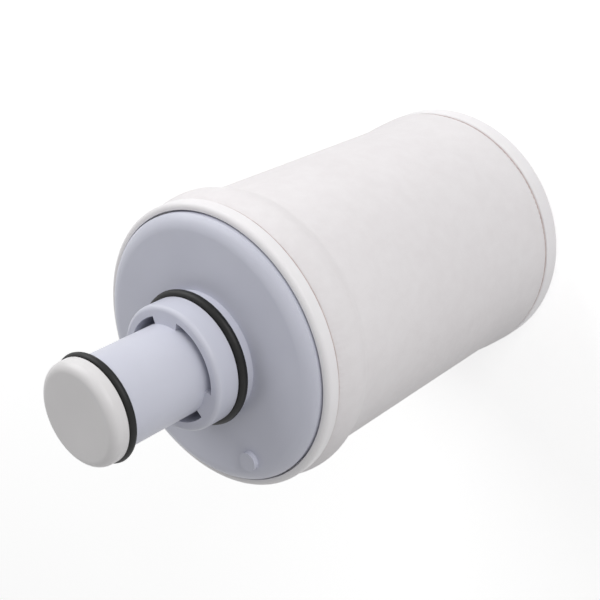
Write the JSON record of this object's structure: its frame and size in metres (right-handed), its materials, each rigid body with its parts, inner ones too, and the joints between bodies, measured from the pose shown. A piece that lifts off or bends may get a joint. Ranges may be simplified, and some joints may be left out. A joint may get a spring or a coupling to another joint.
{
  "type": "water purifier filter cartridge",
  "caption": "Round filter cartridge with a soft white cover, flared end rims, and a sealed nozzle with outlet slots round a lamp tube.",
  "frame": {"origin": "centre of the flat end that the cartridge stands on", "axes": "+Z along the cartridge's axis towards the nozzle tip, +X and +Y across it"},
  "size_m": [0.124, 0.124, 0.2461],
  "materials": {
    "cap_plastic": "satin white moulded plastic",
    "cover_cloth": "soft white non-woven cloth",
    "bead_glue": "dull pinkish glue",
    "felt": "plain felt",
    "carbon": "pressed black grains",
    "pad_glue": "cream glue",
    "plate_plastic": "satin pale blue-grey moulded plastic",
    "tip_plastic": "satin warm grey moulded plastic",
    "seal_rubber": "smooth black rubber",
    "cushion_rubber": "grey silicone rubber",
    "clear_glass": "clear polished glass",
    "cap_metal": "satin",
    "pin_metal": "plated",
    "steel_wire": "drawn wire",
    "copper_wire": "enamelled copper",
    "wire_sleeve": "white sleeving",
    "board": "green laminate",
    "capacitor_can": "dark blue sleeve"
  },
  "bodies": {
    "root": {"far_cap": "cap_plastic", "near_cap": "cap_plastic", "soft_cover": "cover_cloth", "far_seam_bead": "bead_glue", "near_seam_bead": "bead_glue", "felt_wrap": "felt", "carbon_block": "carbon", "core_tube": "cap_plastic", "far_glue": "pad_glue", "near_glue": "pad_glue", "base_plate": "plate_plastic", "collar_seal": "seal_rubber", "end_cup": "tip_plastic", "tip_seal": "seal_rubber", "quartz_sleeve": "clear_glass", "sleeve_foot": "cushion_rubber", "sleeve_seal": "seal_rubber", "seal_retainer": "cap_plastic", "lamp_glass": "clear_glass", "far_lamp_cap": "cap_metal", "near_lamp_cap": "cap_metal", "lamp_electrodes": "steel_wire", "far_cushion": "cushion_rubber", "near_cushion": "cushion_rubber", "return_wires": "wire_sleeve", "lamp_pins": "pin_metal", "lamp_socket": "wire_sleeve", "socket_leads": "copper_wire", "circuit_board": "board", "board_capacitors": "capacitor_can", "coil_bobbin": "wire_sleeve", "power_coil": "copper_wire", "coil_leads": "copper_wire"}
  },
  "joints": []
}
